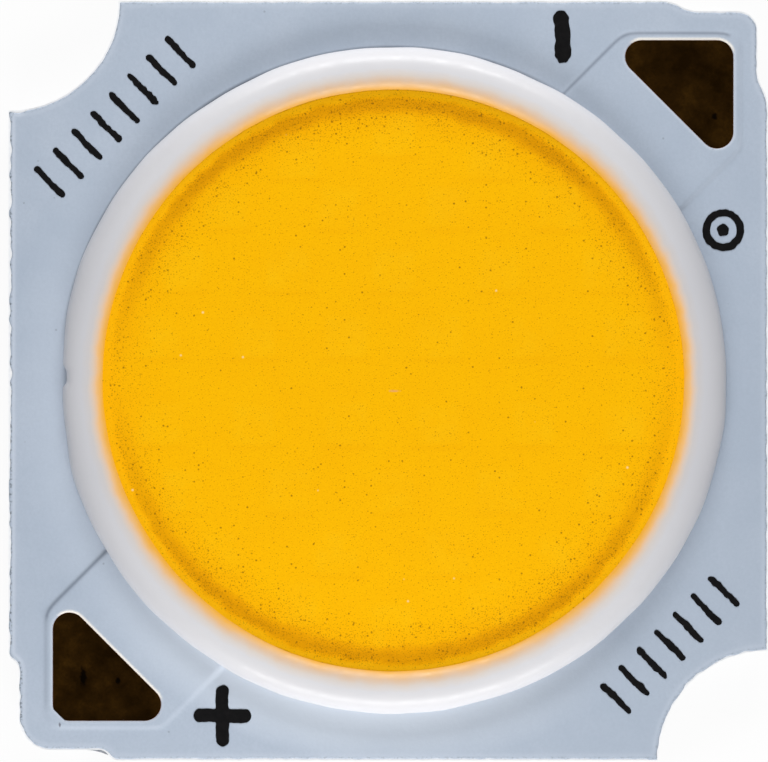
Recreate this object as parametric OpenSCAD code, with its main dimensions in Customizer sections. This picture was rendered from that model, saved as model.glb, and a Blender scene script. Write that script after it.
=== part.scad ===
// Chip-on-board LED: a square aluminium board with a round light area, a silicone dam,
// a phosphor fill over eight rows of dies, and two triangular solder pads.
// The back face lies on z = 0, the light leaves towards +Z, and the cathode pad is at +X +Y.

/* [Board] */
// Side of the square board
board_side = 19; // [17:0.1:24]
// Thickness of the aluminium plate
plate_thickness = 0.8; // [0.5:0.1:2]
// Thickness of the insulating resin on the plate
resin_thickness = 0.1; // [0.06:0.01:0.15]
// Thickness of the copper tracks
copper_thickness = 0.05; // [0.035:0.005:0.08]
// Thickness of the white solder mask
mask_thickness = 0.03; // [0.02:0.005:0.04]

/* [Board outline] */
// Radius of the screw notches at two opposite corners
notch_radius = 2.75; // [1.75:0.05:3.2]
// How far the two pad corners stand back from the long edges
corner_setback = 0.26; // [0.1:0.02:0.4]
// Distance from each pad corner to the middle of its shoulders, cathode then anode
shoulder_reach = [2.2, 2.5];
// Length of each S-shaped shoulder, cathode then anode
shoulder_length = [0.95, 0.5];
// Rounding of the two pad corners, cathode then anode
corner_radius = [0.5, 0.8];

/* [Circuit] */
// Sideways offset of the printed circuit from the cut board
pattern_shift = 0.12; // [0:0.02:0.2]
// Distance from the window to the bus tracks
track_setback = 0.07; // [0.05:0.01:0.1]
// Width of each bus track
bus_width = 1.13; // [0.9:0.01:1.2]
// Angle at which the cathode bus starts
bus_start = -12; // [-20:1:-5]
// Angle at which the cathode bus ends
bus_end = 120; // [105:1:135]
// Width of the copper strip that joins bus and pad
strip_width = 4.07; // [3.4:0.01:4.4]
// Rounding of the copper's outer corner
copper_radius = 0.36; // [0.2:0.02:0.5]

/* [Solder pads] */
// Distance from the board's long edges to the pads
pad_margin = 1; // [0.8:0.05:1.4]
// Leg of the triangular pad before its corners are rounded
pad_leg = 3.28; // [2.8:0.02:3.6]
// Rounding of the pad's corners
pad_radius = 0.41; // [0.2:0.01:0.5]
// Width of copper covered by mask along the pad's legs
pad_lap = 0.16; // [0.1:0.02:0.3]
// Thickness of the pad plating
plating_thickness = 0.01; // [0.005:0.005:0.02]

/* [Dam ring] */
// Distance from the board's long edges to the dam
dam_margin = 1.16; // [0.6:0.02:2]
// Width of bare landing between the dam and the mirror window
landing_width = 0.33; // [0.28:0.01:0.4]
// Width of the dam at its foot
dam_width = 1.26; // [1.1:0.02:1.5]
// Height of the dam above the resin
dam_height = 0.6; // [0.5:0.02:0.62]
// Width of solder mask covered by the dam
mask_lap = 0.24; // [0.1:0.02:0.4]

/* [Phosphor] */
// Depth of phosphor above the tops of the bond wires
wire_cover = 0.05; // [0.03:0.01:0.08]
// How far the phosphor climbs the dam's inner slope
meniscus_rise = 0.05; // [0.02:0.01:0.08]
// Width of the curved rim along the dam
meniscus_width = 0.2; // [0.12:0.02:0.3]

/* [Dies] */
// Side of each square die
die_side = 1; // [0.8:0.05:1.05]
// Thickness of each die
die_thickness = 0.13; // [0.09:0.01:0.15]
// Thickness of the die attach adhesive
attach_thickness = 0.02; // [0.01:0.005:0.03]
// Dies in each row, from the middle row outwards
row_dies = [6, 5, 4, 3];
// Shares of the free height below each row, from the middle row outwards
row_shares = [0.58, 0.67, 0.55, 0.25];
// Gap between each row's end die and the window, from the middle row outwards
row_gaps = [0.29, 0.18, 0.1, 0.14];
// Gap between the outermost die and the window
crown_gap = 0.15; // [0.1:0.01:0.2]
// How far the middle die of the outermost row stands out from its row
crown_rise = 0.55; // [0.4:0.05:0.6]

/* [Bond wires] */
// Diameter of the gold wire
wire_diameter = 0.038; // [0.025:0.001:0.04]
// Height of each wire loop
loop_height = 0.18; // [0.12:0.01:0.2]
// Radius of each bond
bond_radius = 0.05; // [0.04:0.005:0.06]
// Height of each bond
bond_height = 0.044; // [0.042:0.002:0.06]
// Distance from a die's edge to its bonds
bond_inset = 0.15; // [0.1:0.01:0.2]
// Distance from the bus track's inner edge to the bonds on it
bus_inset = 0.12; // [0.1:0.01:0.14]
// Angle from each end of a bus track to the bond nearest to it
landing_angle = 3; // [2:0.5:8]

/* [Hidden] */
$fn = 100;
WIRE_SIDES = 8;
BOND_SIDES = 12;
ROWS = 4;
HALF_TURN = 180;
OVERCUT = 1;

// Heights of the layers
plate_top = plate_thickness;
resin_top = plate_top + resin_thickness;
copper_top = resin_top + copper_thickness;
die_bottom = plate_top + attach_thickness;
die_top = die_bottom + die_thickness;
dam_top = resin_top + dam_height;

// Board outline
half_side = board_side / 2;

// Radii around the centre of the printed circuit, from the dam inwards
dam_outer = half_side - dam_margin;
dam_middle = dam_outer - dam_width / 2;
dam_inner = dam_outer - dam_width;
mask_inner = dam_outer - mask_lap;
window_radius = dam_inner - landing_width;
bus_inner = window_radius + track_setback;
bus_outer = bus_inner + bus_width;
wedge_reach = 2 * bus_outer;

// Solder pads and the copper below them
pad_corner = half_side - pad_margin;
copper_corner = pad_corner + pad_lap;

// The dam's section is a segment of a circle
bead_radius = (pow(dam_width / 2, 2) + pow(dam_height, 2)) / (2 * dam_height);
bead_center = dam_top - bead_radius;

// The phosphor is level in the middle and curves up at the dam in an arc
fill_level = die_top + bond_height / 2 + loop_height + wire_diameter / 2 + wire_cover;
rim_level = fill_level + meniscus_rise;
rim_radius = dam_middle - sqrt(pow(bead_radius, 2) - pow(rim_level - bead_center, 2));
level_radius = rim_radius - meniscus_width;
meniscus_radius = (pow(meniscus_width, 2) + pow(meniscus_rise, 2)) / (2 * meniscus_rise);

// Places of the rows, counted from the middle row outwards
free_height = window_radius - crown_gap - crown_rise - ROWS * die_side;
function sum_to(list, last) = last < 0 ? 0 : list[last] + sum_to(list, last - 1);
function row_y(row) =
    (row + 1 / 2) * die_side + free_height * sum_to(row_shares, row) / sum_to(row_shares, ROWS - 1);
function row_end(row) =
    sqrt(pow(window_radius, 2) - pow(row_y(row) + die_side / 2, 2)) - die_side / 2 - row_gaps[row];
function row_pitch(row) = 2 * row_end(row) / (row_dies[row] - 1);
function is_crown(row, die) = row == ROWS - 1 && die == (row_dies[row] - 1) / 2;
function die_place(row, die) =
    [die * row_pitch(row) - row_end(row), row_y(row) + (is_crown(row, die) ? crown_rise : 0)];

// Bonds on the left and right of a die, at half the bond's height
bond_level = bond_height / 2;
bond_reach = die_side / 2 - bond_inset;
function die_bond(row, die, side) =
    let (place = die_place(row, die)) [place.x + side * bond_reach, place.y, die_top + bond_level];
function bus_bond(angle) =
    let (radius = bus_inner + bus_inset)
    [radius * cos(angle), radius * sin(angle), copper_top + bond_level];

// The string of dies runs right along the first row, back along the second, and so on outwards
function row_direction(row) = row % 2 == 0 ? 1 : -1;
function first_die(row) = row_direction(row) > 0 ? 0 : row_dies[row] - 1;
function last_die(row) = row_dies[row] - 1 - first_die(row);
function row_entry(row) = die_bond(row, first_die(row), -row_direction(row));
function row_exit(row) = die_bond(row, last_die(row), row_direction(row));

// Moves children from the board's centre to the centre of the printed circuit
module on_pattern() {
    translate([pattern_shift, 0, 0]) children();
}

// Shows children twice, the second time half a turn round
module both_halves() {
    for (turn = [0, HALF_TURN]) rotate(turn) children();
}

// Shoulder between the long edge and the set-back corner edge: two equal arcs in an S
module shoulder(length) {
    reach = length / 2;
    radius = (pow(reach, 2) + pow(corner_setback / 2, 2)) / corner_setback;
    intersection() {
        translate([0, -corner_setback]) square([reach, corner_setback]);
        translate([0, -radius]) circle(radius);
    }
    difference() {
        translate([reach, -corner_setback]) square([reach, corner_setback / 2]);
        translate([length, radius - corner_setback]) circle(radius);
    }
}

// Square with its corner at the origin rounded, filling the quadrant below and left of it
module rounded_corner(side, radius) {
    translate([-side, -side]) square([side, side - radius]);
    translate([-side, -side]) square([side - radius, side]);
    translate([-radius, -radius]) circle(radius);
}

// Strip cut away around a pad corner of the board
module corner_relief(corner) {
    length = shoulder_length[corner];
    span = shoulder_reach[corner] + length / 2;
    difference() {
        translate([half_side - span, half_side - span]) square(span + OVERCUT);
        translate([half_side - corner_setback, half_side - corner_setback])
            rounded_corner(span, corner_radius[corner]);
        translate([half_side - span, half_side]) shoulder(length);
        mirror([1, -1]) translate([half_side - span, half_side]) shoulder(length);
    }
}

module board_outline() {
    difference() {
        square(board_side, center = true);
        both_halves() translate([-half_side, half_side]) circle(notch_radius);
        corner_relief(0);
        rotate(HALF_TURN) corner_relief(1);
    }
}

// Bus track: part of a ring under the dam
module bus_outline() {
    intersection() {
        difference() {
            circle(bus_outer);
            circle(bus_inner);
        }
        polygon(concat(
            [[0, 0]],
            [for (angle = [bus_start, (bus_start + bus_end) / 2, bus_end])
                wedge_reach * [cos(angle), sin(angle)]]
        ));
    }
}

// Copper from the bus to the pad corner, a strip at 45 degrees, grown by a margin all round
module strip_outline(margin) {
    intersection() {
        rotate(45)
            translate([(bus_inner + bus_outer) / 2, -strip_width / 2 - margin])
            square([board_side, strip_width + 2 * margin]);
        translate([copper_corner + margin, copper_corner + margin])
            rounded_corner(board_side, copper_radius + margin);
    }
}

// Triangle with a right angle at the pad's outer corner and all three corners rounded
module pad_outline() {
    inset = pad_radius / tan(45 / 2);
    slope = -pad_radius * [cos(45), sin(45)];
    left = [inset - pad_leg, -pad_radius];
    low = [-pad_radius, inset - pad_leg];
    translate([pad_corner, pad_corner]) {
        difference() {
            polygon([[0, 0], [0, -pad_leg], [-pad_leg, 0]]);
            corner_cut([0, 0], [-pad_radius, 0], [-pad_radius, -pad_radius], [0, -pad_radius]);
            corner_cut([-pad_leg, 0], left + slope, left, [left.x, 0]);
            corner_cut([0, -pad_leg], [0, low.y], low, low + slope);
        }
    }
}

// What rounding takes off one corner of the pad: a kite from its tip to the rounding's center
module corner_cut(tip, start, center, end) {
    difference() {
        polygon([tip, start, center, end]);
        translate(center) circle(pad_radius);
    }
}

// A cut by this piece starts a little lower than the piece itself, by the depth given
module track(depth = 0) {
    translate([0, 0, resin_top - depth]) linear_extrude(depth + copper_thickness) {
        bus_outline();
        strip_outline(0);
    }
}

module pad_plating() {
    translate([0, 0, copper_top]) linear_extrude(plating_thickness) pad_outline();
}

// Body of the dam before the layers below it are taken out
module bead(depth = 0) {
    rotate_extrude() {
        intersection() {
            translate([dam_inner, resin_top]) square([dam_width, dam_height]);
            translate([dam_middle, bead_center]) circle(bead_radius);
        }
        if (depth > 0) translate([dam_inner, resin_top - depth]) square([dam_width, depth]);
    }
}

// Mask on the resin and over the copper, still without its windows
module mask_layer(depth = 0) {
    translate([0, 0, resin_top - depth]) {
        linear_extrude(depth + mask_thickness) board_outline();
        on_pattern() both_halves() linear_extrude(depth + copper_thickness + mask_thickness)
            strip_outline(mask_thickness);
    }
}

// One row's dies as square plates of a given thickness, standing on a given level
module die_plates(row, level, thickness) {
    for (die = [0 : row_dies[row] - 1])
        translate(concat(die_place(row, die) - [die_side, die_side] / 2, level))
        cube([die_side, die_side, thickness]);
}

// Gold wire between two bonds, bowed up in a circular arc, with a flat bond at each end
module wire(from, to, depth) {
    run = to - from;
    flat_run = norm([run.x, run.y]);
    chord = norm(run);
    arc_radius = (pow(chord / 2, 2) + pow(loop_height, 2)) / (2 * loop_height);
    arc_angle = asin(chord / 2 / arc_radius);
    translate((from + to) / 2)
        rotate([0, -atan2(run.z, flat_run), atan2(run.y, run.x)])
        translate([0, 0, loop_height - arc_radius])
        rotate([90, 0, 0])
        rotate(90 - arc_angle)
        rotate_extrude(angle = 2 * arc_angle)
        translate([arc_radius, 0]) circle(d = wire_diameter, $fn = WIRE_SIDES);
    for (place = [from, to])
        translate([place.x, place.y, place.z - bond_level - depth])
        cylinder(r = bond_radius, h = depth + bond_height, $fn = BOND_SIDES);
}

// Wires of one row: the one that leads in, those between its dies, and the last one to the bus
module row_wires(row, depth = 0) {
    lead_in = row == 0 ? bus_bond(HALF_TURN + bus_start + landing_angle) : row_exit(row - 1);
    wire(lead_in, row_entry(row), depth);
    for (die = [0 : row_dies[row] - 2])
        wire(die_bond(row, die, 1), die_bond(row, die + 1, -1), depth);
    if (row == ROWS - 1) wire(row_exit(row), bus_bond(bus_end - landing_angle), depth);
}

// Row 1 is at the top and row 8 at the bottom: each lower row is an upper one half a turn round
module place_row(number) {
    on_pattern() rotate(number > ROWS ? HALF_TURN : 0) children();
}
function row_level(number) = number > ROWS ? number - ROWS - 1 : ROWS - number;

module led_row(number) {
    color("#7fb2d9") place_row(number) die_plates(row_level(number), die_bottom, die_thickness);
}

module bond_wires_row(number) {
    color("#e0b040") place_row(number) row_wires(row_level(number));
}

module base_plate() {
    color("#c9ccd0") linear_extrude(plate_thickness) board_outline();
}

module dielectric_layer() {
    color("#d8d4c4") translate([0, 0, plate_top]) linear_extrude(resin_thickness) difference() {
        board_outline();
        on_pattern() circle(window_radius);
    }
}

module cathode_track() {
    color("#b87333") on_pattern() track();
}

module anode_track() {
    color("#b87333") on_pattern() rotate(HALF_TURN) track();
}

module cathode_pad_plating() {
    color("#3a2a12") on_pattern() pad_plating();
}

module anode_pad_plating() {
    color("#3a2a12") on_pattern() rotate(HALF_TURN) pad_plating();
}

module solder_mask() {
    color("#b4bfcd") difference() {
        mask_layer();
        on_pattern() {
            cylinder(r = mask_inner, h = dam_top);
            both_halves() track(OVERCUT);
            both_halves() linear_extrude(dam_top) pad_outline();
        }
    }
}

module dam_ring() {
    color("#f2f3f5") difference() {
        on_pattern() bead();
        on_pattern() both_halves() track(OVERCUT);
        difference() {
            mask_layer(OVERCUT);
            on_pattern() cylinder(r = mask_inner, h = dam_top);
        }
    }
}

// Resin below the phosphor's rim
module resin_step() {
    translate([0, 0, plate_top - OVERCUT]) difference() {
        cylinder(r = dam_outer, h = resin_thickness + OVERCUT);
        cylinder(r = window_radius, h = resin_thickness + OVERCUT);
    }
}

module phosphor_fill() {
    color("#fdb602") on_pattern() difference() {
        rotate_extrude() difference() {
            translate([0, plate_top]) square([rim_radius, rim_level - plate_top]);
            translate([0, fill_level]) square([level_radius, rim_level]);
            translate([level_radius, fill_level + meniscus_radius]) circle(meniscus_radius);
        }
        bead(OVERCUT);
        resin_step();
        both_halves() {
            track(OVERCUT);
            for (row = [0 : ROWS - 1]) {
                die_plates(row, plate_top - OVERCUT, OVERCUT + attach_thickness + die_thickness);
                row_wires(row, die_thickness / 2);
            }
        }
    }
}

module die_attach() {
    color("#e8e8e0") on_pattern() both_halves() for (row = [0 : ROWS - 1])
        die_plates(row, plate_top, attach_thickness);
}

base_plate();
dielectric_layer();
anode_track();
cathode_track();
anode_pad_plating();
cathode_pad_plating();
solder_mask();
dam_ring();
phosphor_fill();
die_attach();
led_row(1);  // led_row_1
led_row(2);  // led_row_2
led_row(3);  // led_row_3
led_row(4);  // led_row_4
led_row(5);  // led_row_5
led_row(6);  // led_row_6
led_row(7);  // led_row_7
led_row(8);  // led_row_8
bond_wires_row(1);  // bond_wires_row_1
bond_wires_row(2);  // bond_wires_row_2
bond_wires_row(3);  // bond_wires_row_3
bond_wires_row(4);  // bond_wires_row_4
bond_wires_row(5);  // bond_wires_row_5
bond_wires_row(6);  // bond_wires_row_6
bond_wires_row(7);  // bond_wires_row_7
bond_wires_row(8);  // bond_wires_row_8
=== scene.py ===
"""Looks of a chip-on-board LED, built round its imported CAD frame."""

import math

import bpy
import numpy as np
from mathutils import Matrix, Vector
from mathutils.geometry import delaunay_2d_cdt


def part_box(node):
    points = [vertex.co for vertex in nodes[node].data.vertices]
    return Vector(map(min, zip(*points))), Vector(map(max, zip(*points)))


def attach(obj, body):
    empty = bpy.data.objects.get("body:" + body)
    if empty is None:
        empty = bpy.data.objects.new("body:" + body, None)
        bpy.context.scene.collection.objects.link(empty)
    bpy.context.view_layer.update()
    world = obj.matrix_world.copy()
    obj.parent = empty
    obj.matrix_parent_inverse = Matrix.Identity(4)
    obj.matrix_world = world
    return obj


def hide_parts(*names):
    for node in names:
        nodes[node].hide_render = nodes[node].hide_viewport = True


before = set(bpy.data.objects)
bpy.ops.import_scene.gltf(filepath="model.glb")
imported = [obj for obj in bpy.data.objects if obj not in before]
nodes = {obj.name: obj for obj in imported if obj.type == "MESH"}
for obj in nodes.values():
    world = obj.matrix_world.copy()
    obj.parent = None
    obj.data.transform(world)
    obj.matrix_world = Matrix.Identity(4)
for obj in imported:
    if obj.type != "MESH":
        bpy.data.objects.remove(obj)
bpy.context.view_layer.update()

MM = 0.001
TAU = 2 * math.pi


def span(name):
    """Lowest and highest corner of a CAD node, in millimetres."""
    low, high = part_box(name)
    return low / MM, high / MM


# Levels and radii that the frame gives, in millimetres
plate_high = span("base_plate")[1]
resin_top = span("dielectric_layer")[1].z
copper_top = span("anode_track")[1].z
mask_step_top = span("solder_mask")[1].z
dam_low, dam_high = span("dam_ring")
glow_low, glow_high = span("phosphor_fill")
half_side = plate_high.x
center_x = (dam_low.x + dam_high.x) / 2
dam_outer = (dam_high.x - dam_low.x) / 2
rim_radius = (glow_high.x - glow_low.x) / 2
copper_rise = copper_top - resin_top
mask_thickness = mask_step_top - copper_top
dam_top = dam_high.z


# ---------------------------------------------------------------- outlines


def area(loop):
    after = np.roll(loop, -1, 0)
    return float(np.sum(loop[:, 0] * after[:, 1] - loop[:, 1] * after[:, 0]) / 2)


def top_outline(name):
    """Outer outline of a CAD node's highest flat face, counter-clockwise, in millimetres."""
    mesh = nodes[name].data
    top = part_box(name)[1].z
    places = [(round(v.co.x / MM, 4), round(v.co.y / MM, 4)) for v in mesh.vertices]
    follows = {}
    for polygon in mesh.polygons:
        if any(abs(mesh.vertices[i].co.z - top) > 1e-7 for i in polygon.vertices):
            continue
        corners = [places[i] for i in polygon.vertices]
        for a, b in zip(corners, corners[1:] + corners[:1]):
            if a == b:
                continue
            if a in follows.get(b, ()):
                follows[b].remove(a)
            else:
                follows.setdefault(a, []).append(b)
    loops = []
    while any(follows.values()):
        start = next(a for a in follows if follows[a])
        loop, at = [], start
        while follows.get(at):
            loop.append(at)
            at = follows[at].pop()
        loops.append(np.array(loop))
    loop = max(loops, key=lambda loop: abs(area(loop)))
    return loop if area(loop) > 0 else loop[::-1]


def resample(loop, step):
    """The same outline with its points about a step apart."""
    closed = np.vstack([loop, loop[:1]])
    lengths = np.hypot(*np.diff(closed, axis=0).T)
    along = np.concatenate([[0], np.cumsum(lengths)])
    places = np.linspace(0, along[-1], max(8, round(along[-1] / step)), endpoint=False)
    return np.column_stack([np.interp(places, along, closed[:, axis]) for axis in (0, 1)])


def normals(loop):
    """Unit normals that point into a counter-clockwise outline."""
    run = np.roll(loop, -1, 0) - np.roll(loop, 1, 0)
    run /= np.maximum(np.hypot(*run.T), 1e-9)[:, None]
    return np.column_stack([-run[:, 1], run[:, 0]])


def in_chunks(work, points, size=4000):
    return np.concatenate([work(points[i : i + size]) for i in range(0, len(points), size)])


def distance(points, loop):
    """Distance from each point to an outline."""
    a, b = loop, np.roll(loop, -1, 0)
    run = b - a
    square = np.maximum((run**2).sum(1), 1e-12)

    def work(part):
        away = part[:, None] - a[None]
        share = np.clip((away * run[None]).sum(2) / square[None], 0, 1)
        return np.sqrt(((away - share[..., None] * run[None]) ** 2).sum(2).min(1))

    return in_chunks(work, points)


def inside(points, loop):
    """Whether each point lies within an outline."""
    a, b = loop, np.roll(loop, -1, 0)

    def work(part):
        x, y = part[:, :1], part[:, 1:]
        crosses = (a[None, :, 1] > y) != (b[None, :, 1] > y)
        slope = np.where(b[:, 1] == a[:, 1], 1, b[:, 1] - a[:, 1])
        at = a[None, :, 0] + (y - a[None, :, 1]) * ((b - a)[None, :, 0] / slope[None])
        return (crosses & (x < at)).sum(1) % 2 == 1

    return in_chunks(work, points)


def depth_in(points, loop):
    """Distance to an outline, positive within it and negative outside."""
    return np.where(inside(points, loop), 1, -1) * distance(points, loop)


def ripple(count, waves, seed, falloff=0.5):
    """Smooth periodic noise of about unit size."""
    draws = np.random.default_rng(seed)
    turn = np.linspace(0, TAU, count, endpoint=False)
    total = np.zeros(count)
    for wave in range(1, waves + 1):
        total += wave**-falloff * draws.normal() * np.cos(wave * turn + draws.uniform(0, TAU))
    return total / max(total.std(), 1e-9)


def smooth(value, low, high):
    share = np.clip((value - low) / (high - low), 0, 1)
    return share * share * (3 - 2 * share)


def rounded(depth, radius):
    """Height of a rounded edge as a share, from 0 at the edge to 1 a radius inside it."""
    share = np.clip(depth / radius, 0, 1)
    return np.sqrt(1 - (1 - share) ** 2)


def thin_out(points, cell):
    """Points with no two in one cell of a grid; earlier points win."""
    keys = np.round(points / cell).astype(np.int64)
    keep = np.unique(keys[:, 0] * 1000003 + keys[:, 1], return_index=True)[1]
    return points[np.sort(keep)]


def lattice(half, pitch):
    line = np.arange(-half, half + pitch / 2, pitch)
    x, y = np.meshgrid(line, line)
    odd = (np.arange(len(line)) % 2)[:, None] * pitch / 2
    return np.column_stack([(x + odd).ravel(), y.ravel()])


# ---------------------------------------------------------------- meshes


def make_piece(name, points, faces, node_list, slot, flat_faces=()):
    """A mesh piece in millimetres round the middle of the dam, riding on the part."""
    mesh = bpy.data.meshes.new(name)
    mesh.from_pydata([tuple(MM * c for c in p) for p in points], [], faces)
    mesh.polygons.foreach_set("use_smooth", [True] * len(mesh.polygons))
    for index in flat_faces:
        mesh.polygons[index].use_smooth = False
    mesh.update()
    piece = bpy.data.objects.new(name, mesh)
    piece.location = (center_x * MM, 0, 0)
    bpy.context.scene.collection.objects.link(piece)
    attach(piece, "root")
    if node_list:
        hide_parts(*node_list)
    return piece


def triangles(points, loops, keep):
    """Triangles between the points, with the loops' edges kept, where keep says so."""
    edges, start = [], 0
    for loop in loops:
        count = len(loop)
        edges += [(start + i, start + (i + 1) % count) for i in range(count)]
        start += count
    everything = np.vstack([*loops, points])
    flat, _, faces, *_ = delaunay_2d_cdt(
        [Vector(p) for p in everything.tolist()], edges, [], 0, 1e-7, False
    )
    flat = np.array([tuple(p) for p in flat])
    faces = np.array([f for f in faces if len(f) == 3])
    faces = faces[keep(flat[faces].mean(1))]
    used, faces = np.unique(faces, return_inverse=True)
    return flat[used], faces.reshape(-1, 3)


def closed_sheet(flat, faces, top, bottom):
    """A closed solid between two height fields over the same triangles."""
    count = len(flat)
    points = np.vstack([np.column_stack([flat, top]), np.column_stack([flat, bottom])])
    a, b, c = flat[faces[:, 0]], flat[faces[:, 1]], flat[faces[:, 2]]
    turn = (b[:, 0] - a[:, 0]) * (c[:, 1] - a[:, 1]) - (b[:, 1] - a[:, 1]) * (c[:, 0] - a[:, 0])
    faces = np.where(turn[:, None] < 0, faces[:, ::-1], faces)
    once = set()
    for face in faces.tolist():
        for p, q in zip(face, face[1:] + face[:1]):
            if (q, p) in once:
                once.remove((q, p))
            else:
                once.add((p, q))
    walls = [(p, p + count, q + count, q) for p, q in sorted(once)]
    all_faces = faces.tolist() + (faces[:, ::-1] + count).tolist() + walls
    walls_from = 2 * len(faces)
    return points.tolist(), all_faces, range(walls_from, len(all_faces))


def lathe(profiles):
    """A closed ring of quads from one closed profile (radius, height) for each angle."""
    turns, steps, _ = profiles.shape
    angles = np.linspace(0, TAU, turns, endpoint=False)
    points = np.stack(
        [
            profiles[..., 0] * np.cos(angles)[:, None],
            profiles[..., 0] * np.sin(angles)[:, None],
            profiles[..., 1],
        ],
        -1,
    ).reshape(-1, 3)
    faces = []
    for turn in range(turns):
        here, there = turn * steps, (turn + 1) % turns * steps
        for step in range(steps):
            after = (step + 1) % steps
            faces.append((here + step, there + step, there + after, here + after))
    return points.tolist(), faces


# ---------------------------------------------------------------- materials


class Look:
    """A node material, built up call by call."""

    def __init__(self, name, **settings):
        self.material = bpy.data.materials.new(name)
        self.material.use_nodes = True
        self.tree = self.material.node_tree
        self.shader = self.tree.nodes["Principled BSDF"]
        for key, value in settings.items():
            self.shader.inputs[key.replace("_", " ")].default_value = value
        coords = self.tree.nodes.new("ShaderNodeTexCoord")
        self.place = self.vector("SCALE", coords.outputs["Object"], scale=1 / MM)

    def node(self, kind, links=(), **settings):
        made = self.tree.nodes.new(kind)
        for key, value in settings.items():
            setattr(made, key, value)
        for key, value in dict(links).items():
            if isinstance(value, bpy.types.NodeSocket):
                self.tree.links.new(value, made.inputs[key])
            else:
                made.inputs[key].default_value = value
        return made

    def vector(self, operation, a, b=None, scale=None):
        links = {0: a}
        if b is not None:
            links[1] = b
        if scale is not None:
            links["Scale"] = scale
        made = self.node("ShaderNodeVectorMath", links, operation=operation)
        return made.outputs["Value" if operation in ("LENGTH", "DOT_PRODUCT") else "Vector"]

    def math(self, operation, a, b=0.0):
        return self.node("ShaderNodeMath", {0: a, 1: b}, operation=operation).outputs[0]

    def times(self, value, *factors):
        for factor in factors:
            value = self.math("MULTIPLY", value, factor)
        return value

    def noise(self, size, detail=2.0, roughness=0.5, stretch=None):
        """Noise with features of about this size in millimetres."""
        at = self.vector("MULTIPLY", self.place, stretch) if stretch else self.place
        links = {"Vector": at, "Scale": 1 / size, "Detail": detail, "Roughness": roughness}
        return self.node("ShaderNodeTexNoise", links).outputs["Fac"]

    def spread(self, noise, low=0.0, high=1.0):
        """Noise, which keeps near its middle, spread from low to high."""
        return self.span(noise, 0.3, 0.7, low, high)

    def cells(self, size):
        """Scattered points about this far apart in millimetres, with their cells."""
        return self.node("ShaderNodeTexVoronoi", {"Vector": self.place, "Scale": 1 / size})

    def draw(self, cells, channel):
        """A random number from 0 to 1 for each cell."""
        return self.node("ShaderNodeSeparateColor", {0: cells.outputs["Color"]}).outputs[channel]

    def dots(self, cells, core, edge):
        """1 within a core round each cell's point, fading to 0 at an edge, as shares of the pitch."""
        return self.span(cells.outputs["Distance"], core, edge, 1, 0)

    def ramp(self, value, stops, interpolation="LINEAR"):
        """Colours or greys at the given values."""
        made = self.node("ShaderNodeValToRGB", {"Fac": value})
        made.color_ramp.interpolation = interpolation
        steps = made.color_ramp.elements
        while len(steps) < len(stops):
            steps.new(0.5)
        for step, (at, color) in zip(steps, stops):
            step.position = at
            step.color = (*color, 1) if isinstance(color, tuple) else (color,) * 3 + (1,)
        return made.outputs["Color"]

    def span(self, value, low, high, to_low=0.0, to_high=1.0):
        """The value with one range mapped to another, and held within it."""
        limits = {"From Min": low, "From Max": high, "To Min": to_low, "To Max": to_high}
        return self.node("ShaderNodeMapRange", {"Value": value, **limits}).outputs["Result"]

    def mix(self, share, a, b):
        """The colour a with this share of the colour b."""
        made = self.node("ShaderNodeMix", data_type="RGBA")
        # The node's inputs 0, 6 and 7 are the share and the two colours, and output 2 their mix
        for index, value in ((0, share), (6, a), (7, b)):
            if isinstance(value, bpy.types.NodeSocket):
                self.tree.links.new(value, made.inputs[index])
            else:
                made.inputs[index].default_value = (*value, 1) if isinstance(value, tuple) else value
        return made.outputs[2]

    def flat_place(self):
        return self.vector("MULTIPLY", self.place, (1, 1, 0))

    def radius(self):
        return self.vector("LENGTH", self.flat_place())

    def along(self, x, y):
        """Cosine of the angle between a direction and the way outwards from the middle."""
        outwards = self.vector("NORMALIZE", self.flat_place())
        length = math.hypot(x, y)
        return self.vector("DOT_PRODUCT", outwards, (x / length, y / length, 0))

    def toward(self, x, y, low, high):
        """1 on the side of the middle that faces this direction, 0 on the other side."""
        return self.span(self.along(x, y), low, high)

    def upright(self, low, high):
        """1 towards +Y and -Y from the middle, 0 towards +X and -X."""
        return self.span(self.math("ABSOLUTE", self.along(0, 1)), low, high)

    def spot(self, middle, size):
        """1 within an ellipse, fading to 0 at its ragged border."""
        away = self.vector("SUBTRACT", self.place, (*middle, 0))
        away = self.vector("MULTIPLY", away, (1 / size[0], 1 / size[1], 0))
        ragged = self.spread(self.noise(0.07), -0.25, 0.25)
        return self.span(self.math("ADD", self.vector("LENGTH", away), ragged), 0.5, 1, 1, 0)

    def value(self, name):
        return self.node("ShaderNodeAttribute", attribute_name=name).outputs["Fac"]

    def set(self, key, value):
        self.tree.links.new(value, self.shader.inputs[key])

    def bump(self, height, depth, strength=1.0):
        """Bump from a height of 0 to 1 that stands for a depth in millimetres."""
        links = {"Height": height, "Distance": depth * MM, "Strength": strength}
        self.set("Normal", self.node("ShaderNodeBump", links).outputs["Normal"])


def srgb(red, green, blue):
    """Linear colour from 8-bit display values."""
    return tuple(
        c / 12.92 if c <= 0.04045 else ((c + 0.055) / 1.055) ** 2.4
        for c in (red / 255, green / 255, blue / 255)
    )


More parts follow.
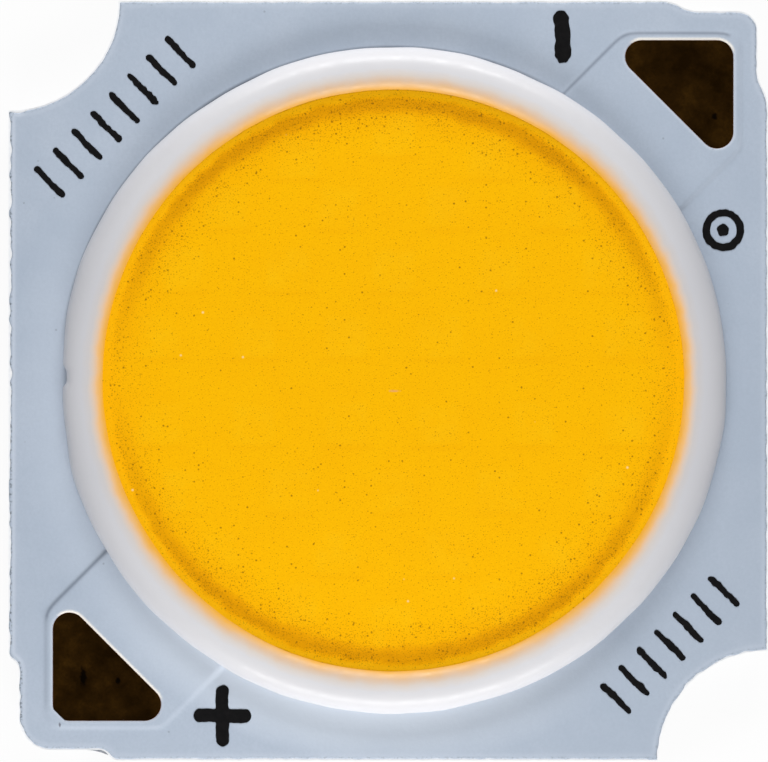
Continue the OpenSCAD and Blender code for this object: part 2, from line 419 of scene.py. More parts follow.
def mask_look():
    look = Look("solder_mask_ink", Roughness=0.5, Specular_IOR_Level=0.25)
    radius = look.radius()
    color = look.mix(look.spread(look.noise(1.6, 3)), srgb(172, 184, 200), srgb(180, 191, 206))
    color = look.mix(look.spread(look.noise(0.06, 2), 0, 0.3), color, srgb(160, 172, 188))
    # Painted light bounced from the dam onto the board round it, strongest on its -Y side and weaker on
    # its -X side
    painted_bounce_light = look.span(radius, dam_outer - 0.1, dam_outer + 1.3, 1, 0)
    front = look.toward(-0.12, -1, 0.66, 0.99)
    color = look.mix(look.times(painted_bounce_light, front, 0.95), color, srgb(226, 235, 246))
    left = look.toward(-1, -0.5, 0.1, 0.8)
    color = look.mix(look.times(painted_bounce_light, left, 0.4), color, srgb(200, 210, 224))
    # Painted shade over the board towards +X and -Y from the dam
    shaded_side = look.toward(1, -0.8, 0.5, 0.9)
    color = look.mix(look.times(shaded_side, 0.25), color, srgb(158, 169, 183))
    # Few dark specks
    cells = look.cells(0.4)
    chosen = look.math("GREATER_THAN", look.draw(cells, 0), 0.8)
    color = look.mix(look.times(look.dots(cells, 0.04, 0.09), chosen, 0.4), color, srgb(112, 118, 130))
    # Painted shade and painted highlights along the copper's edges and the pads' windows, and a pale
    # line inside the board's edge
    color = look.mix(look.value("painted_shade_line"), color, srgb(84, 92, 108))
    color = look.mix(look.value("pale_line"), color, srgb(222, 228, 240))
    color = look.mix(look.value("lip_highlight_line"), color, srgb(255, 249, 238))
    nick = look.spot(WINDOW_NICK, (0.035, 0.07))
    color = look.mix(look.times(nick, 0.7), color, srgb(66, 58, 70))
    ragged = look.times(look.value("outer_edge"), look.span(look.noise(0.07, 3), 0.52, 0.62))
    color = look.mix(look.times(ragged, 0.75), color, srgb(84, 92, 96))
    # Painted contact shadow along the dam's foot, from its +Y side round to its -X side
    contact_shadow = look.span(radius, dam_outer - 0.02, dam_outer + 0.06, 1, 0)
    contact_shadow = look.times(contact_shadow, look.toward(-0.45, 1, 0.5, 0.75), 0.85)
    color = look.mix(contact_shadow, color, srgb(84, 90, 100))
    look.set("Base Color", color)
    look.set("Roughness", look.spread(look.noise(0.5), 0.42, 0.58))
    look.bump(look.noise(0.12, 2), 0.004)
    return look.material


def dam_look():
    look = Look("dam_silicone", Roughness=0.38, Specular_IOR_Level=0.4)
    wander = look.spread(look.noise(0.5, 3), -0.03, 0.03)
    share = look.span(look.math("ADD", look.radius(), wander), rim_radius - 0.05, rim_radius + 0.6)
    # Painted yellow light, bounced from the phosphor, on the white bead's inner slope
    yellow_bounce_light = look.ramp(
        share,
        [
            (0.0, srgb(246, 176, 8)),
            (0.14, srgb(244, 182, 56)),
            (0.27, srgb(240, 190, 120)),
            (0.42, srgb(232, 202, 172)),
            (0.6, srgb(224, 213, 204)),
            (0.85, srgb(219, 218, 221)),
        ],
    )
    color = look.mix(look.spread(look.noise(0.9, 3), 0, 0.12), yellow_bounce_light, srgb(202, 205, 212))
    # Painted shade on the bead's slopes towards -X and +X, away from the lamps
    side = look.math("SUBTRACT", 1.0, look.upright(0.3, 0.9))
    side = look.times(side, look.span(share, 0.3, 0.6, 0, 0.6))
    color = look.mix(side, color, srgb(186, 187, 193))
    scuff = look.spot(joint_place, (0.07, 0.12))
    color = look.mix(look.times(scuff, 0.55), color, srgb(120, 106, 86))
    look.set("Base Color", color)
    look.set("Roughness", look.spread(look.noise(0.25, 3), 0.3, 0.46))
    look.bump(look.noise(0.2, 3), 0.004)
    return look.material


# Pitch in millimetres, dot size as a share of it, share of the cells, and strength
SPECKS = ((0.07, 0.34, 0.5, 0.5), (0.11, 0.3, 0.4, 0.75), (0.3, 0.11, 0.5, 0.85))


def phosphor_look():
    look = Look("phosphor_silicone", Roughness=0.55, Specular_IOR_Level=0.05)
    radius = look.radius()
    wander = look.spread(look.noise(0.4, 3), -0.05, 0.05)
    outward = look.span(look.math("ADD", radius, wander), 6.0, rim_radius + 0.1)
    calm = look.ramp(
        outward, [(0.0, srgb(255, 191, 0)), (0.8, srgb(253, 185, 2)), (1.0, srgb(250, 180, 8))]
    )
    # Painted shadow of the dam, with some settled phosphor, darkens a band within the rim, most at the
    # top and bottom, and the rim itself is painted lighter there
    band = look.ramp(
        outward,
        [
            (0.0, srgb(255, 191, 0)),
            (0.42, srgb(250, 182, 0)),
            (0.54, srgb(230, 158, 0)),
            (0.64, srgb(212, 143, 0)),
            (0.73, srgb(218, 148, 0)),
            (0.79, srgb(246, 174, 2)),
            (0.84, srgb(255, 190, 10)),
            (1.0, srgb(255, 188, 12)),
        ],
    )
    shade_and_settling = look.upright(0.02, 0.75)
    color = look.mix(shade_and_settling, calm, band)
    # The dies and the gaps below them show through faintly
    patchy = look.span(look.noise(0.5, 3), 0.35, 0.65, 0.02, 0.22)
    color = look.mix(look.times(look.value("die_glow"), patchy), color, srgb(255, 204, 22))
    color = look.mix(look.times(look.value("wire_line"), 0.2), color, srgb(240, 168, 0))
    cloud = look.span(look.noise(1.1, 4, 0.6), 0.4, 0.7, 0, 0.2)
    color = look.mix(cloud, color, srgb(250, 176, 0))
    grain = look.spread(look.noise(0.045, 2, 0.6), 0, 0.35)
    color = look.mix(grain, color, srgb(240, 168, 0))
    # Dark specks crowd towards the rim, and stop short of it
    crowd = look.times(
        look.span(radius, 5.6, rim_radius - 0.35, 0.12, 1.0),
        look.span(radius, rim_radius - 0.22, rim_radius - 0.1, 1, 0.12),
        look.span(look.noise(0.8, 2), 0.35, 0.6, 0.6, 1.2),
        look.span(shade_and_settling, 0.0, 1.0, 0.55, 1.0),
    )
    peppery = look.math("ADD", look.noise(0.036, 1), look.times(crowd, 0.085))
    color = look.mix(look.span(peppery, 0.64, 0.74, 0, 0.55), color, srgb(140, 92, 2))
    for pitch, dot_size, share, strength in SPECKS:
        cells = look.cells(pitch)
        chosen = look.math("LESS_THAN", look.draw(cells, 0), look.times(crowd, share))
        dot = look.times(look.dots(cells, dot_size * 0.4, dot_size), chosen, strength)
        color = look.mix(dot, color, srgb(128, 84, 6))
    # Few pale glints, and a scratch near the middle
    cells = look.cells(0.55)
    chosen = look.math("LESS_THAN", look.draw(cells, 1), 0.16)
    glint = look.times(look.dots(cells, 0.03, 0.07), chosen, 0.7)
    color = look.mix(glint, color, srgb(255, 226, 170))
    scratch = look.spot((0.02, -0.26), (0.16, 0.035))
    color = look.mix(look.times(scratch, 0.6), color, srgb(226, 160, 120))
    look.set("Base Color", color)
    look.bump(look.noise(0.08, 3, 0.6), 0.008)
    return look.material


def ink_look():
    look = Look("black_ink", Roughness=0.75, Specular_IOR_Level=0.08)
    shades = [(0.3, srgb(3, 3, 4)), (0.7, srgb(14, 13, 14))]
    look.set("Base Color", look.ramp(look.noise(0.15, 3), shades))
    look.bump(look.noise(0.06, 2), 0.003)
    return look.material


def metal_look(name, low, high, roughness, grain=0.1, stretch=None, depth=0.002):
    look = Look(name, Metallic=1.0)
    streaks = look.noise(grain, 4, 0.6, stretch=stretch)
    look.set("Base Color", look.ramp(streaks, [(0.3, low), (0.7, high)]))
    look.set("Roughness", look.spread(look.noise(grain * 3, 3), roughness - 0.06, roughness + 0.08))
    look.bump(streaks, depth)
    return look.material


# Middle and size of the dark stains on the two pads
PAD_STAINS = (((-7.62, -7.4), (0.1, 0.3)), ((-6.75, -7.5), (0.07, 0.1)), ((8.15, 6.6), (0.1, 0.1)))


def pad_look():
    look = Look("pad_plating", Metallic=1.0)
    tarnish = [(0.35, srgb(24, 13, 2)), (0.55, srgb(38, 23, 5)), (0.75, srgb(54, 35, 9))]
    color = look.ramp(look.noise(0.7, 4, 0.6), tarnish)
    fine = look.span(look.noise(0.07, 3, 0.6), 0.35, 0.7, 0, 0.35)
    color = look.mix(fine, color, srgb(14, 8, 2))
    for middle, size in PAD_STAINS:
        color = look.mix(look.times(look.spot(middle, size), 0.9), color, srgb(4, 3, 2))
    look.set("Base Color", color)
    look.set("Roughness", look.spread(look.noise(0.3, 3), 0.3, 0.5))
    look.bump(look.noise(0.05, 3), 0.002)
    return look.material


def matte_look(name, low, high, roughness=0.5, grain=0.15, specular=0.4, depth=0.003):
    look = Look(name, Specular_IOR_Level=specular)
    cloud = look.noise(grain, 3)
    look.set("Base Color", look.ramp(cloud, [(0.3, low), (0.7, high)]))
    look.set("Roughness", look.spread(look.noise(grain * 2, 2), roughness - 0.05, roughness + 0.08))
    look.bump(cloud, depth)
    return look.material


def paint(piece, material):
    piece.data.materials.clear()
    piece.data.materials.append(material)


# ---------------------------------------------------------------- solder mask

board = top_outline("base_plate")
tracks = [top_outline("anode_track"), top_outline("cathode_track")]
pads = [top_outline("anode_pad_plating"), top_outline("cathode_pad_plating")]

# Mean distance from the board's edge to the mask's, and the widths of the mask's rounded edges
MASK_INSET = 0.04
MASK_EDGE = 0.035
WINDOW_EDGE = 0.06
# Where the mask starts and stops rising over a track's edge, outside and inside it
RELIEF_OUT, RELIEF_IN = 0.13, 0.09
# How far the mask runs under the dam
MASK_LAP = 0.24
# Amount that the anode pad's window loses at its outer corner, and a nick in the mask beside it
CORNER_CUT = 0.07
WINDOW_NICK = (-8.33, -8.6)
mask_inner = dam_outer - MASK_LAP
shift = np.array([center_x, 0])


def unit_circle(count):
    angles = np.linspace(0, TAU, count, endpoint=False)
    return np.column_stack([np.cos(angles), np.sin(angles)])


def mask_outline():
    """The board's outline moved in by a little that varies, most along the -X edge."""
    loop = resample(board, 0.05)
    west = smooth(-loop[:, 0], half_side - 0.6, half_side - 0.2)
    chewed = (loop[:, 0] > half_side - 3) & (loop[:, 1] < 3 - half_side)
    inset = MASK_INSET + ripple(len(loop), 240, 3, 0.25) * (0.006 + 0.014 * west + 0.012 * chewed)
    inset = np.clip(inset, 0.012, 0.12)
    moved = loop + normals(loop) * inset[:, None]
    return moved[distance(moved, board) > 0.93 * inset]


def window_outline(pad, cut):
    """A pad's outline, a little wider, with its corner nearest the board's corner cut off."""
    loop = resample(pad, 0.03)
    loop = loop - normals(loop) * 0.004
    sign = np.sign(loop.mean(0).sum())
    reach = sign * loop.sum(1)
    over = np.maximum(reach - (reach.max() - cut), 0)
    return loop - sign * over[:, None] / 2


edge_loop = mask_outline()
window_loops = [window_outline(pads[0], CORNER_CUT), window_outline(pads[1], 0.0)]
ring_loop = mask_inner * unit_circle(640) + shift


def mask_height(points):
    """Top of the mask, and its bottom, at each point."""
    relief = np.zeros(len(points))
    for track in tracks:
        relief = np.maximum(relief, smooth(depth_in(points, track), -RELIEF_OUT, RELIEF_IN))
    body = rounded(distance(points, edge_loop), MASK_EDGE)
    for loop in window_loops:
        body = np.minimum(body, rounded(distance(points, loop), WINDOW_EDGE))
    low = resin_top + copper_rise * relief
    wave = 0.0015 * np.sin(points[:, 0] * 1.9 + 1.3) * np.sin(points[:, 1] * 2.3 + 0.4)
    return low + 0.002 + (mask_thickness - 0.004 + wave) * body, low


def feature_rows(loop, offsets, step):
    """Rows of points along an outline at these distances inside it."""
    line = resample(loop, step)
    rows = []
    for offset in offsets:
        moved = line + normals(line) * offset
        rows.append(moved[distance(moved, loop) > 0.9 * abs(offset)])
    return rows


# Distances inside an outline at which the mask gets rows of points, fine where it bends
EDGE_ROWS = (0.006, 0.018, 0.034, 0.06, 0.09, 0.125, 0.17)
WINDOW_ROWS = (-0.006, -0.018, -0.032, -0.05, -0.09)
TRACK_ROWS = (-0.14, -0.1, -0.075, -0.05, -0.02, 0.01, 0.035, 0.06, 0.1)
MASK_PITCH = 0.15
LEAST_PITCH = 0.022
EDGE_CLEARANCE = 0.004


def mask_points():
    rows = feature_rows(edge_loop, EDGE_ROWS, 0.06)
    for loop in window_loops:
        rows += feature_rows(loop, WINDOW_ROWS, 0.04)
    for loop in tracks:
        rows += feature_rows(loop, TRACK_ROWS, 0.07)
    points = thin_out(np.vstack([*rows, lattice(half_side, MASK_PITCH)]), LEAST_PITCH)
    keep = inside(points, edge_loop) & (np.hypot(*(points - shift).T) > mask_inner + 0.02)
    for loop in (edge_loop, *window_loops):
        keep &= distance(points, loop) >= EDGE_CLEARANCE
    return points[keep]


def in_mask(middles):
    keep = inside(middles, edge_loop) & (np.hypot(*(middles - shift).T) > mask_inner)
    for loop in window_loops:
        keep &= ~inside(middles, loop)
    return keep


def write_value(piece, name, values):
    """A number for each vertex; the bottom of a closed sheet repeats the top's."""
    values = np.concatenate([values, values])[: len(piece.data.vertices)]
    attribute = piece.data.attributes.new(name, "FLOAT", "POINT")
    attribute.data.foreach_set("value", values.astype(np.float32))


def facing(points, loop, step=0.01):
    """Direction away from an outline's inside at each point, and the depth in it."""
    at = depth_in(points, loop)
    slope = [depth_in(points + step * np.eye(2)[axis], loop) - at for axis in (0, 1)]
    slope = -np.column_stack(slope)
    return slope / np.maximum(np.hypot(*slope.T), 1e-9)[:, None], at


def softened(loop, step=0.1, passes=7):
    """The outline with its corners rounded, as the mask's relief shows it."""
    loop = resample(loop, step)
    for _ in range(passes):
        loop = loop / 2 + (np.roll(loop, 1, 0) + np.roll(loop, -1, 0)) / 4
    return loop


def ridge(depth, middle, width):
    """1 at a distance from an outline, fading to 0 on both sides of it."""
    return np.exp(-(((depth - middle) / width) ** 2))


def mark_lines(mask_skin, flat):
    """Values for the painted lines of shade and light along the mask's outlines."""
    painted_shade_line, pale_line, lip_highlight_line = (np.zeros(len(flat)) for _ in range(3))
    for loop in map(softened, tracks):
        # Painted shade along the track edges that face -X and +Y, and a painted highlight along those
        # that face +X and -Y
        away, depth = facing(flat, loop)
        line = ridge(depth, -0.02, 0.045)
        painted_shade_line = np.maximum(painted_shade_line, 0.6 * line * smooth(away @ (-0.5, 0.87), 0.35, 0.8))
        pale_line = np.maximum(pale_line, 0.12 * line * smooth(away @ (0.6, -0.8), 0.3, 0.9))
    # Painted highlight on the mask along each window's +Y side, and a fainter painted highlight all
    # round it
    for loop in window_loops:
        away, depth = facing(flat, loop)
        lip = ridge(depth, -0.022, 0.032)
        lip_highlight_line = np.maximum(lip_highlight_line, lip * smooth(away @ (0.3, 0.95), 0.45, 0.8))
        pale_line = np.maximum(pale_line, 0.35 * lip)
    edge_depth = distance(flat, board)
    west = smooth(-flat[:, 0], half_side - 0.5, half_side - 0.3)
    pale_line = np.maximum(pale_line, (0.14 + 0.2 * west) * ridge(edge_depth, 0.13, 0.05))
    write_value(mask_skin, "painted_shade_line", painted_shade_line)
    write_value(mask_skin, "pale_line", pale_line)
    write_value(mask_skin, "lip_highlight_line", lip_highlight_line)
    write_value(mask_skin, "outer_edge", smooth(-edge_depth, -0.11, -0.06) * (0.4 + 0.6 * west))


def build_mask():
    flat, faces = triangles(mask_points(), [edge_loop, *window_loops, ring_loop], in_mask)
    points, faces, walls = closed_sheet(flat - shift, faces, *mask_height(flat))
    skin = make_piece("mask_skin", points, faces, ["solder_mask"], "solder_mask_white", walls)
    mark_lines(skin, flat)
    paint(skin, mask_look())


build_mask()

# ---------------------------------------------------------------- dam

DAM_WIDTH = 1.26
TURNS = 900
ARC_STEPS = 34
# Where the bead's start and end were joined, a long shallow flat has a short dent in it
FLAT_DEPTH, DENT_DEPTH = 0.08, 0.1
joint_place = (0.13 - dam_outer, 0.07)
dam_inner = dam_outer - DAM_WIDTH


def joint_shift(turn):
    """How far the bead's foot moves outwards at each angle, for its joint at -X."""
    along = (math.pi - turn) * dam_outer
    shallow = smooth(-np.abs(along), -2.2, -1.0)
    dent = smooth(-along, -0.45, -0.2) * smooth(along, -0.2, -0.03)
    return -FLAT_DEPTH * shallow - DENT_DEPTH * dent


def build_dam():
    """A bead with the section of a circle's cap, from foot to foot over its crest."""
    height = dam_top - resin_top
    bead_radius = ((DAM_WIDTH / 2) ** 2 + height**2) / (2 * height)
    half_arc = math.asin(DAM_WIDTH / 2 / bead_radius)
    if height > bead_radius:
        half_arc = math.pi - half_arc
    turn = np.linspace(0, TAU, TURNS, endpoint=False)
    foot_noise = 0.012 * ripple(TURNS, 44, 11, 0.6)
    crest_noise = 0.003 * ripple(TURNS, 30, 12, 0.8)
    inner_noise = 0.006 * ripple(TURNS, 60, 13, 0.6)
    arc = np.linspace(half_arc, -half_arc, ARC_STEPS)
    out_share = smooth(arc, 0, half_arc)
    in_share = smooth(-arc, 0, half_arc)
    radii = dam_outer - DAM_WIDTH / 2 + bead_radius * np.sin(arc)[None]
    radii = radii + (foot_noise + joint_shift(turn))[:, None] * out_share[None]
    radii += inner_noise[:, None] * in_share[None]
    heights = np.repeat(dam_top - bead_radius + bead_radius * np.cos(arc)[None], TURNS, 0)
    # The crest stays just below the frame's
    heights += (crest_noise - 0.009)[:, None] * (heights - resin_top) / height
    foot_level = mask_height(dam_outer * unit_circle(TURNS) + shift)[0] - 0.004
    heights[:, 0] = foot_level
    heights[:, -1] = copper_top + 0.01
    inner_foot = np.stack([np.full(TURNS, dam_inner), np.full(TURNS, copper_top)], 1)
    under = np.stack([np.full(TURNS, mask_inner), np.full(TURNS, copper_top)], 1)
    lap = np.stack([np.full(TURNS, mask_inner), foot_level], 1)
    closing = np.stack([inner_foot, under, lap], 1)
    profiles = np.concatenate([np.stack([radii, heights], -1), closing], 1)
    bead = make_piece("dam_bead", *lathe(profiles), ["dam_ring"], "dam_silicone")
    paint(bead, dam_look())


build_dam()

# ---------------------------------------------------------------- phosphor

MENISCUS_WIDTH = 0.2
MENISCUS_RISE = 0.05
# How far the phosphor reaches into the dam, and the radius of the resin's window at its foot
RIM_REACH = 0.02
WINDOW_RADIUS = 6.75
edge_radius = rim_radius + RIM_REACH
level_radius = rim_radius - MENISCUS_WIDTH


def loose_parts(mesh):
    """The places in millimetres, seen from above, of each loose part's vertices."""
    group = list(range(len(mesh.vertices)))

    def root(i):
        while group[i] != i:
            group[i] = group[group[i]]
            i = group[i]
        return i

    first = {}
    for v in mesh.vertices:
        key = tuple(round(c / MM, 3) for c in v.co)
        group[root(v.index)] = root(first.setdefault(key, v.index))
    for polygon in mesh.polygons:
        for i in polygon.vertices[1:]:
            group[root(i)] = root(polygon.vertices[0])
    parts = {}
    for v in mesh.vertices:
        parts.setdefault(root(v.index), []).append((v.co.x / MM, v.co.y / MM))
    return [np.array(part) for part in parts.values()]


def die_boxes():
    """Middle and half size of each die in the rows."""
    found = []
    for name in nodes:
        if name.startswith("led_row_"):
            for part in loose_parts(nodes[name].data):
                low, high = part.min(0), part.max(0)
                found.append(((low + high) / 2 - shift, (high - low) / 2))
    return found


def phosphor_points():
    """Rings of points near the rim and a lattice within them."""
    rings = []
    for radius in (level_radius - 0.06, level_radius, *np.linspace(level_radius, rim_radius, 8)[1:]):
        rings.append(radius * unit_circle(int(TAU * radius / 0.07)))
    grid = lattice(level_radius, 0.085)
    return np.vstack([*rings, grid[np.hypot(*grid.T) < level_radius - 0.09]])


def phosphor_height(flat):
    """A nearly level fill that creeps up the dam in an arc."""
    radius = np.hypot(*flat.T)
    rim_level = glow_high.z
    arc_radius = (MENISCUS_WIDTH**2 + MENISCUS_RISE**2) / (2 * MENISCUS_RISE)
    top = np.full(len(flat), rim_level - MENISCUS_RISE)
    curved = radius > level_radius
    top[curved] += arc_radius - np.sqrt(arc_radius**2 - (radius[curved] - level_radius) ** 2)
    wave = 0.0015 * np.sin(flat[:, 0] * 1.1 + 0.5) * np.cos(flat[:, 1] * 0.9 + 1.1)
    return np.minimum(top + wave * (radius < level_radius), rim_level)


def mark_dies(phosphor, flat):
    """Values for the light blocks over the dies and the dark lines just below them."""
    glow, line = np.zeros(len(flat)), np.zeros(len(flat))
    for middle, half in die_boxes():
        off = np.abs(flat - middle)
        block = smooth(half[0] - off[:, 0], -0.12, 0.12) * smooth(half[1] - off[:, 1], -0.12, 0.12)
        glow = np.maximum(glow, block)
        below = np.abs(flat[:, 1] - middle[1] + half[1] + 0.08)
        line = np.maximum(line, ridge(below, 0, 0.07) * smooth(half[0] + 0.3 - off[:, 0], 0, 0.3))
    write_value(phosphor, "die_glow", glow)
    write_value(phosphor, "wire_line", line)


def build_phosphor():
    rim_loop = edge_radius * unit_circle(720)
    flat, faces = triangles(
        phosphor_points(), [rim_loop], lambda middles: np.hypot(*middles.T) < edge_radius
    )
    bottom = plate_high.z + 0.01
    points, faces, walls = closed_sheet(
        flat, faces, phosphor_height(flat), np.full(len(flat), bottom)
    )
    # The side follows the dam's slope and the window in the resin
    points = np.array(points)
    points[points[:, 2] < bottom + 0.01, :2] *= WINDOW_RADIUS / edge_radius
    phosphor = make_piece(
        "phosphor_surface", points.tolist(), faces, ["phosphor_fill"], "phosphor_silicone", walls
    )
    mark_dies(phosphor, flat)
    paint(phosphor, phosphor_look())


build_phosphor()

# ---------------------------------------------------------------- printed marks

INK_HEIGHT = 0.012
TICK_LENGTH, TICK_WIDTH = 1.05, 0.15
RING_PLACE = (8.37, 3.76)
# The ring's outer and inner edge and the dot in it
RING_RADII = (0.52, 0.34, 0.15)
ink_level = resin_top + mask_thickness - 0.003


def printed(name, outlines):
    """Ink marks as one piece: flat outlines, later ones within a first one being holes."""
    curve = bpy.data.curves.new(name, "CURVE")
    curve.dimensions = "2D"
    curve.fill_mode = "BOTH"
    curve.extrude = INK_HEIGHT / 4 * MM
    curve.bevel_depth = INK_HEIGHT / 4 * MM
    curve.bevel_resolution = 1
    for outline in outlines:
        spline = curve.splines.new("POLY")
        spline.points.add(len(outline) - 1)
        for point, (x, y) in zip(spline.points, outline):
            point.co = (x * MM, y * MM, 0, 1)
        spline.use_cyclic_u = True
    source = bpy.data.objects.new(name + "_source", curve)
    bpy.context.scene.collection.objects.link(source)
    bpy.context.view_layer.update()
    depsgraph = bpy.context.evaluated_depsgraph_get()
    mesh = bpy.data.meshes.new_from_object(source.evaluated_get(depsgraph))
    bpy.data.objects.remove(source)
    piece = bpy.data.objects.new(name, mesh)
    piece.location = (0, 0, (ink_level + INK_HEIGHT / 2) * MM)
    bpy.context.scene.collection.objects.link(piece)
    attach(piece, "root")
    paint(piece, ink_look())


def rough(outline, size, seed):
    """The outline with the small unevenness of stamped ink."""
    line = resample(np.array(outline), 0.05)
    uneven = size * ripple(len(line), max(4, len(line) // 3), seed, 0.6)
    return line + normals(line) * uneven[:, None]


def place_outline(outline, middle, degrees):
    c, s = math.cos(math.radians(degrees)), math.sin(math.radians(degrees))
    return np.array(outline) @ np.array([[c, s], [-s, c]]) + np.array(middle)


def bar(middle, length, width, degrees, seed, size=0.012):
    """A straight stroke with round ends, uneven by about this size."""
    ends = np.linspace(-90, 90, 9)
    outline = [
        (
            length / 2 - width / 2 + width / 2 * math.cos(math.radians(a)),
            width / 2 * math.sin(math.radians(a)),
        )
        for a in ends
    ]
    outline += [(-x, -y) for x, y in outline]
    return place_outline(rough(outline, size, seed), middle, degrees)


def circle(middle, radius, seed):
    return rough(radius * unit_circle(48), 0.008, seed) + np.array(middle)


def plus(middle, width, height, stroke, seed):
    """A plus sign as one outline, with round ends."""
    outline = []
    for quarter, reach in enumerate((width / 2, height / 2, width / 2, height / 2)):
        c, s = math.cos(quarter * TAU / 4), math.sin(quarter * TAU / 4)
        for degrees in np.linspace(-75, 75, 7):
            x = reach - stroke / 2 + stroke / 2 * math.cos(math.radians(degrees))
            y = stroke / 2 * math.sin(math.radians(degrees))
            outline.append((x * c - y * s, x * s + y * c))
        corner = stroke / 2
        outline.append((corner * c - corner * s, corner * s + corner * c))
    return rough(outline, 0.01, seed) + np.array(middle)


def tick_row(name, middle, length, count, seed):
    """A plain row of equal strokes across a line at 45 degrees."""
    along = np.array([1, 1]) / math.sqrt(2)
    shares = np.arange(count) / (count - 1) - 0.5
    places = np.array(middle) + np.outer(shares, along) * length
    bars = [bar(place, TICK_LENGTH, TICK_WIDTH, 135, seed + i) for i, place in enumerate(places)]
    printed(name, bars)


printed("plus_mark", [plus((-4.15, -8.38), 1.45, 1.55, 0.33, 21)])
printed("minus_mark", [bar((4.34, 8.6), 1.3, 0.39, 92, 22, 0.016)])
printed("corner_fiducial", [circle(RING_PLACE, r, 23 + i) for i, r in enumerate(RING_RADII)])
tick_row("upper_tick_row", (-6.83, 6.59), 4.6, 8, 40)
tick_row("lower_tick_row", (7.04, -6.61), 3.8, 7, 60)

# ---------------------------------------------------------------- burr


BURR_LINE = [(-7.92, -9.31), (-7.7, -9.3), (-7.45, -9.315), (-7.2, -9.36), (-7.0, -9.41), (-6.86, -9.46)]
BURR_WIDTH = 0.05
BURR_STEPS = 24


def build_burr():
    """A thin shaving left on the plate's edge, tapered at its free end."""
    route = np.array(BURR_LINE)
    lengths = np.concatenate([[0], np.cumsum(np.hypot(*np.diff(route, axis=0).T))])
    places = np.linspace(0, lengths[-1], BURR_STEPS)
    line = np.column_stack([np.interp(places, lengths, route[:, axis]) for axis in (0, 1)])
    run = np.gradient(line, axis=0)
    side = np.column_stack([-run[:, 1], run[:, 0]]) / np.hypot(*run.T)[:, None]
    share = np.linspace(0, 1, BURR_STEPS)
    taper = np.sqrt(np.minimum(share + 0.02, 1)) * (1 + 0.25 * np.sin(9 * share))
    half = (BURR_WIDTH / 2 * taper)[:, None] * side
    low = np.full(BURR_STEPS, plate_high.z * 0.35)
    high = low + plate_high.z * 0.4 * (0.3 + 0.7 * share)
    edges = [(line - half, low), (line + half, low), (line + half, high), (line - half, high)]
    corners = np.stack([np.column_stack([flat - shift, z]) for flat, z in edges], 1)
    faces = [(3, 2, 1, 0)]
    for i in range(0, 4 * (BURR_STEPS - 1), 4):
        faces += [(i + j, i + (j + 1) % 4, i + 4 + (j + 1) % 4, i + 4 + j) for j in range(4)]
    last = 4 * (BURR_STEPS - 1)
    faces.append((last, last + 1, last + 2, last + 3))
    burr = make_piece("edge_burr", corners.reshape(-1, 3).tolist(), faces, [], "plate_aluminium")
    paint(burr, matte_look("burr_grey", srgb(120, 124, 130), srgb(168, 172, 178)))


build_burr()

# ---------------------------------------------------------------- carried-over nodes

# The finish of the CAD nodes whose names start like this
FINISHES = {
    "base_plate": metal_look(
        "plate_aluminium", srgb(196, 199, 203), srgb(222, 224, 228), 0.34, 0.2, (1, 12, 1)
    ),
    "dielectric_layer": matte_look(
        "insulating_resin", srgb(236, 238, 241), srgb(246, 247, 249), 0.45, 0.1
    ),
    ("anode_track", "cathode_track"): metal_look(
        "track_copper", srgb(180, 110, 70), srgb(214, 146, 100), 0.35
    ),
    ("anode_pad_plating", "cathode_pad_plating"): pad_look(),
    "led_row": matte_look(
        "die_sapphire", srgb(120, 160, 190), srgb(150, 186, 210), 0.12, 0.4, 0.7, 0.0005
    ),
    "die_attach": matte_look(
        "die_attach_silicone", srgb(224, 224, 220), srgb(240, 240, 236), 0.5
    ),
    "bond_wires": metal_look(
        "wire_gold", srgb(226, 170, 70), srgb(250, 206, 110), 0.2, 0.05, None, 0.0005
    ),
}
for name, node in nodes.items():
    for start, finish in FINISHES.items():
        if name.startswith(start):
            paint(node, finish)

BEVEL_WIDTHS = {"base_plate": 0.03, "dielectric_layer": 0.02}
for name, width in BEVEL_WIDTHS.items():
    bevel = nodes[name].modifiers.new("soft_edges", "BEVEL")
    bevel.width = width * MM
    bevel.segments = 2
    bevel.limit_method = "ANGLE"
    bevel.angle_limit = math.radians(50)

# ---------------------------------------------------------------- studio


FLOOR_REACH = 0.5
FLOOR_GAP = 0.00002
# Share of the floor that is plain white, apart from shadows
FLOOR_WHITE = 0.9
AMBIENT = 0.31
LAMP_WIDTH, LAMP_HEIGHT, LAMP_ELEVATION = 60, 16, 26
# Width and middle of the picture at the mask's level
FRAME_WIDTH = 19.2
FRAME_MIDDLE = (-0.1075, -0.0125)


def seen_by(tree, *kinds):
    """1 for a ray of one of these kinds, 0 for all others."""
    path = tree.nodes.new("ShaderNodeLightPath")
    seen = path.outputs[kinds[0]]
    for kind in kinds[1:]:
        either = tree.nodes.new("ShaderNodeMath")
        either.operation = "MAXIMUM"
        tree.links.new(seen, either.inputs[0])
        tree.links.new(path.outputs[kind], either.inputs[1])
        seen = either.outputs[0]
    return seen


def floor_material():
    look = Look("studio_floor", Roughness=0.9, Specular_IOR_Level=0.1)
    look.shader.inputs["Base Color"].default_value = (0.85, 0.85, 0.85, 1)
    seen = seen_by(look.tree, "Is Camera Ray", "Is Glossy Ray", "Is Transmission Ray")
    light = look.node("ShaderNodeEmission", {"Color": (1, 1, 1, 1), "Strength": 1.0})
    links = {0: look.times(seen, FLOOR_WHITE), 1: look.shader.outputs[0], 2: light.outputs[0]}
    both = look.node("ShaderNodeMixShader", links)
    look.tree.links.new(both.outputs[0], look.tree.nodes["Material Output"].inputs["Surface"])
    return look.material


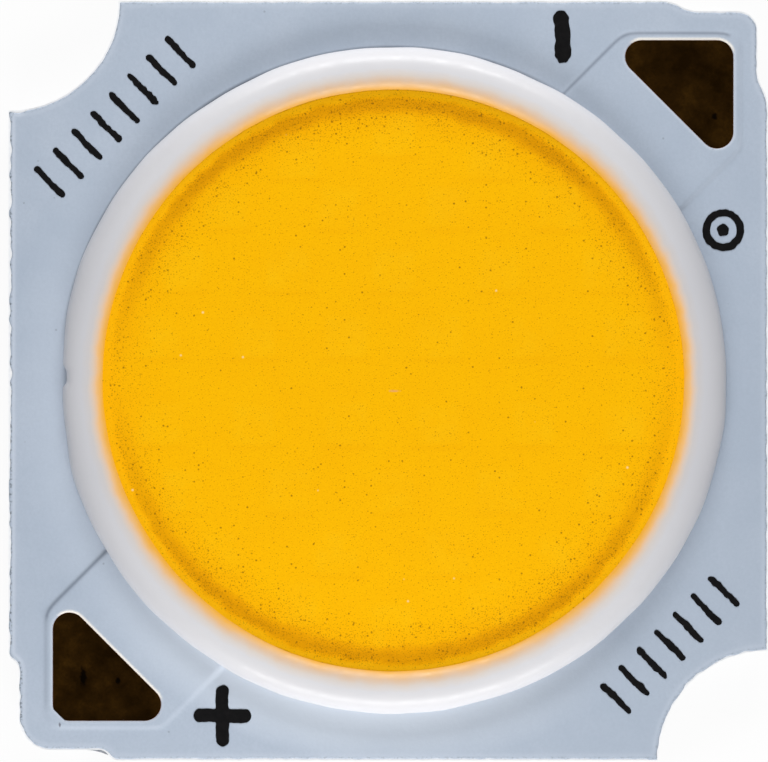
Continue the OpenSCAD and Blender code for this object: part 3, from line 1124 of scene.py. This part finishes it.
def build_floor():
    corners = [(x * FLOOR_REACH, y * FLOOR_REACH, 0) for x, y in ((-1, -1), (1, -1), (1, 1), (-1, 1))]
    mesh = bpy.data.meshes.new("floor")
    mesh.from_pydata(corners, [], [(0, 1, 2, 3)])
    floor = bpy.data.objects.new("floor", mesh)
    bpy.context.scene.collection.objects.link(floor)
    floor.location.z = -FLOOR_GAP
    paint(floor, floor_material())


def build_world():
    """White where it is seen, and a dim even light on the object."""
    world = bpy.data.worlds.new("studio")
    bpy.context.scene.world = world
    world.use_nodes = True
    tree = world.node_tree
    background = tree.nodes["Background"]
    level = tree.nodes.new("ShaderNodeMapRange")
    level.inputs["To Min"].default_value = AMBIENT
    level.inputs["To Max"].default_value = 1.0
    tree.links.new(seen_by(tree, "Is Camera Ray", "Is Glossy Ray"), level.inputs["Value"])
    tree.links.new(level.outputs["Result"], background.inputs["Strength"])
    background.inputs["Color"].default_value = (1, 1, 1, 1)


def softbox(name, azimuth, distance_mm, level):
    """A soft lamp that gives a surface facing it this share of a full white."""
    light = bpy.data.lights.new(name, "AREA")
    light.shape = "RECTANGLE"
    light.size, light.size_y = LAMP_WIDTH * MM, LAMP_HEIGHT * MM
    light.energy = math.pi**2 * level * (distance_mm * MM) ** 2
    lamp = bpy.data.objects.new(name, light)
    bpy.context.scene.collection.objects.link(lamp)
    a, e = math.radians(azimuth), math.radians(LAMP_ELEVATION)
    direction = Vector((math.sin(a) * math.cos(e), math.cos(a) * math.cos(e), math.sin(e)))
    lamp.location = direction * distance_mm * MM + Vector((0, 0, MM))
    lamp.rotation_euler = direction.to_track_quat("Z", "Y").to_euler()


def build_camera():
    """A camera that looks straight down."""
    data = bpy.data.cameras.new("camera")
    data.sensor_width = 36
    data.lens = 100
    data.clip_start = 0.001
    data.clip_end = 10
    camera = bpy.data.objects.new("camera", data)
    bpy.context.scene.collection.objects.link(camera)
    height = resin_top + mask_thickness + FRAME_WIDTH * data.lens / data.sensor_width
    camera.location = [c * MM for c in (*FRAME_MIDDLE, height)]
    bpy.context.scene.camera = camera


build_floor()
build_world()
softbox("north_light", 0, 75, 0.86)
softbox("south_light", 180, 60, 0.91)
build_camera()
bpy.context.scene.view_settings.view_transform = "Standard"
